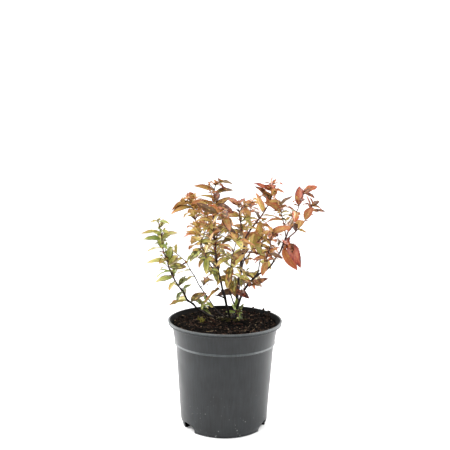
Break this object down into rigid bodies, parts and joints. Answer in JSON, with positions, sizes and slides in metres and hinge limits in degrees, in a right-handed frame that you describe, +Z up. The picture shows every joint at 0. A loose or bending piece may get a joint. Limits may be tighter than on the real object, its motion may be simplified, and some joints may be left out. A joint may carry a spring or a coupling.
{
  "type": "potted spirea shrub",
  "caption": "A young deciduous spirea shrub in a dark grey plastic nursery pot, with thin dark stems, drooping olive, amber and copper-red leaves and brown potting mix.",
  "frame": {"origin": "centre of the pot's flat underside, where it stands", "axes": "+Z up along the pot's axis, +X to the viewer's right, the front faces -Y"},
  "size_m": [0.2538, 0.2092, 0.371],
  "materials": {
    "pot": "semi-gloss moulded, dusty",
    "soil": "matte, crumbly",
    "bark": "matte, finely ridged",
    "leaf_green": "satin leaf",
    "leaf_amber": "satin leaf",
    "leaf_red": "satin leaf"
  },
  "bodies": {
    "root": {"pot": "pot", "soil": "soil", "stem_left": "bark", "stem_left_thin": "bark", "stem_centre": "bark", "bough_centre_left": "bark", "stem_main": "bark", "bough_main_upper": "bark", "bough_main_back": "bark", "bough_main_front": "bark", "bough_main_inner": "bark", "stem_right": "bark", "bough_right": "bark", "bough_right_top": "bark", "bough_right_inner": "bark", "bough_right_outer": "bark", "bough_right_back": "bark", "bough_front": "bark", "bough_front_left": "bark", "bough_front_right": "bark", "bough_back": "bark", "bough_back_left": "bark", "twig_cut": "bark", "leaves_left": "leaf_green", "leaves_left_thin": "leaf_green", "leaves_centre_top": "leaf_amber", "leaves_centre_left": "leaf_amber", "leaves_main_top": "leaf_red", "leaves_main_back": "leaf_amber", "leaves_main_front": "leaf_amber", "leaves_main_inner": "leaf_amber", "leaves_right_top": "leaf_red", "leaves_right_inner": "leaf_red", "leaves_right_outer": "leaf_red", "leaves_right_back": "leaf_amber", "leaves_front": "leaf_amber", "leaves_front_left": "leaf_green", "leaves_front_right": "leaf_amber", "leaves_back": "leaf_amber", "leaves_back_left": "leaf_amber", "leaves_left_low": "leaf_green", "leaves_left_foot": "leaf_green", "leaves_thin_low": "leaf_green", "leaves_centre_low": "leaf_green", "leaves_centre_mid": "leaf_green", "leaves_main_low": "leaf_amber", "leaves_main_mid": "leaf_green", "leaves_main_high": "leaf_amber", "leaves_right_low": "leaf_green", "leaves_right_mid": "leaf_amber", "leaves_right_large": "leaf_red", "leaves_right_small": "leaf_red", "leaves_foot": "leaf_green"}
  },
  "joints": []
}
